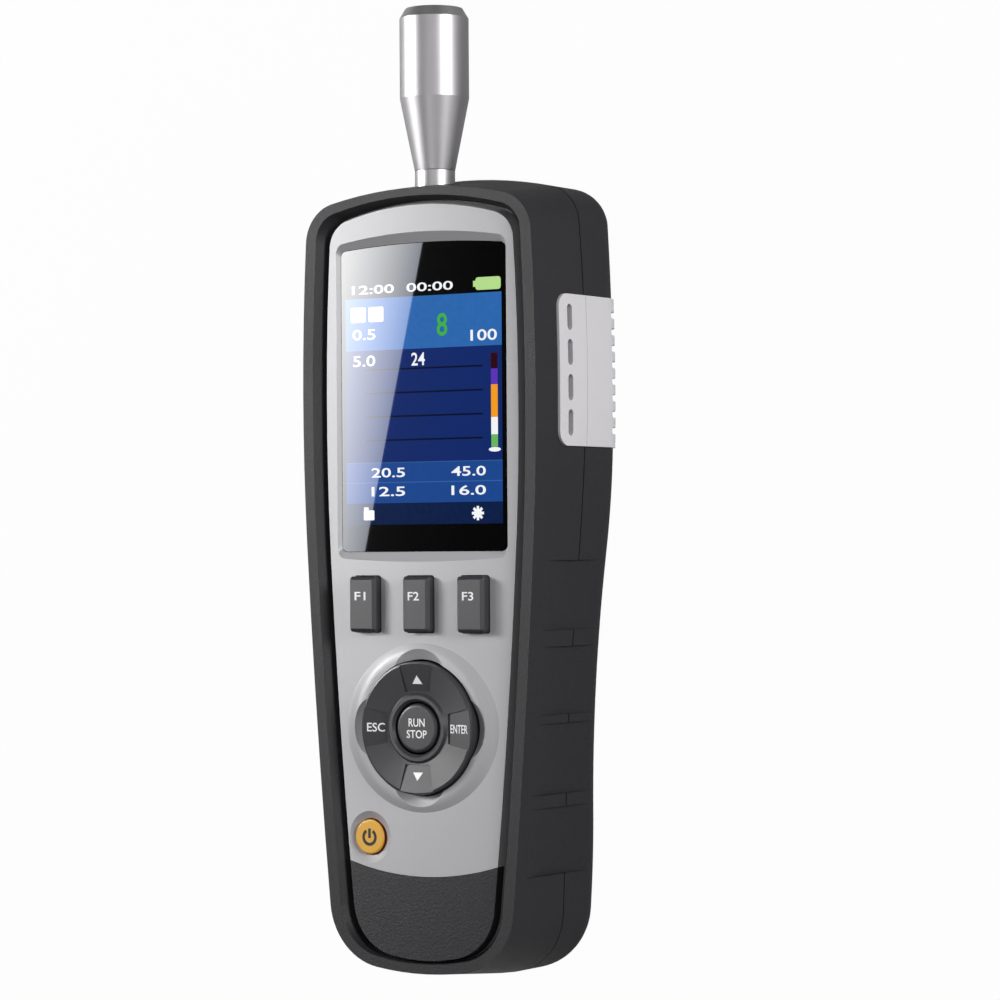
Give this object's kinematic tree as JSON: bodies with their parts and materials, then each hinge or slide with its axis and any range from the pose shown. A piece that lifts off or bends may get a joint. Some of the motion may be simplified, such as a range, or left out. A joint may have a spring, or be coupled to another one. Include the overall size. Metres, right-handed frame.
{
  "type": "airborne particle counter",
  "caption": "Handheld airborne particle counter with a metal air inlet, colour display, function keys, navigation ring, power button and a vented housing.",
  "frame": {"origin": "middle of the bounding box on the surface the counter lies on, back down", "axes": "+X across the case to the right as seen from the display side, +Y along the case from foot to air inlet, +Z from the back towards the display"},
  "size_m": [0.0774, 0.2626, 0.0492],
  "materials": {
    "housing": "fine textured charcoal",
    "panel": "satin silver paint",
    "cover": "coarse textured dark grey",
    "keys": "satin grey",
    "button": "satin amber",
    "vent": "satin light grey",
    "window": "clear lens over a lit colour display",
    "flap": "soft dark grey",
    "steel": "turned",
    "screw": "zinc plated",
    "brass": "plain",
    "board": "green solder mask",
    "electronics": "black",
    "connector": "tinned",
    "foam": "closed cell foam",
    "silicone": "silicone rubber",
    "hose": "clear grey tube",
    "battery": "shrink sleeve",
    "sensor": "black anodised",
    "filter": "white"
  },
  "bodies": {
    "housing": {"back_shell": "housing", "battery_door": "housing", "battery_pack": "battery", "board_screws": "screw", "buzzer": "electronics", "card_socket": "connector", "case_screws": "screw", "climate_board": "board", "display_gasket": "foam", "display_pad": "foam", "display_window": "window", "door_screw": "screw", "exhaust_filter": "filter", "filter_clip": "foam", "front_panel": "panel", "front_shell": "housing", "inlet_fitting": "steel", "inlet_hose": "hose", "inlet_seal": "foam", "keypad_mat": "silicone", "laser_diode": "brass", "lcd_module": "electronics", "left_vent": "vent", "light_detector": "electronics", "lower_cover": "cover", "main_board": "board", "nav_guide": "electronics", "power_socket": "electronics", "pump_clip": "foam", "pump_head": "electronics", "pump_motor": "connector", "rear_vent": "vent", "right_vent": "vent", "sensor_chamber": "sensor", "tripod_insert": "brass", "usb_socket": "connector"},
    "f1_key": {"f1_key": "keys"},
    "f2_key": {"f2_key": "keys"},
    "f3_key": {"f3_key": "keys"},
    "power_button": {"power_button": "button"},
    "run_stop_button": {"run_stop_button": "keys"},
    "nav_rocker": {"nav_rocker": "electronics"},
    "nav_ring": {"nav_ring": "keys"},
    "inlet_nozzle": {"inlet_nozzle": "steel"},
    "port_flap": {"port_flap": "flap"}
  },
  "joints": [
    {"name": "f1_key_press", "type": "slide", "parent": "housing", "child": "f1_key", "axis": [0, 0, -1], "range_m": [0, 0.0008], "stiffness_N_per_m": 1500, "springref_m": -0.0003},
    {"name": "f2_key_press", "type": "slide", "parent": "housing", "child": "f2_key", "axis": [0, 0, -1], "range_m": [0, 0.0008], "stiffness_N_per_m": 1500, "springref_m": -0.0003},
    {"name": "f3_key_press", "type": "slide", "parent": "housing", "child": "f3_key", "axis": [0, 0, -1], "range_m": [0, 0.0008], "stiffness_N_per_m": 1500, "springref_m": -0.0003},
    {"name": "power_button_press", "type": "slide", "parent": "housing", "child": "power_button", "axis": [0, 0, -1], "range_m": [0, 0.0008], "stiffness_N_per_m": 1500, "springref_m": -0.0003},
    {"name": "run_stop_button_press", "type": "slide", "parent": "housing", "child": "run_stop_button", "axis": [0, 0, -1], "range_m": [0, 0.0008], "stiffness_N_per_m": 1500, "springref_m": -0.0003},
    {"name": "nav_rock_up_down", "type": "hinge", "parent": "housing", "child": "nav_rocker", "pos_m": [0, -0.0632, 0.039], "axis": [1, 0, 0], "range_deg": [-2, 2], "stiffness_Nm_per_rad": 0.4},
    {"name": "nav_rock_left_right", "type": "hinge", "parent": "nav_rocker", "child": "nav_ring", "pos_m": [0, -0.0632, 0.0412], "axis": [0, 1, 0], "range_deg": [-2, 2], "stiffness_Nm_per_rad": 0.4},
    {"name": "nozzle_pull_off", "type": "slide", "parent": "housing", "child": "inlet_nozzle", "axis": [0, 1, 0], "range_m": [0, 0.03]},
    {"name": "port_flap_open", "type": "hinge", "parent": "housing", "child": "port_flap", "pos_m": [-0.03732, -0.0061, 0.0274], "axis": [0.0437, -0.999, 0], "range_deg": [0, 105]}
  ]
}
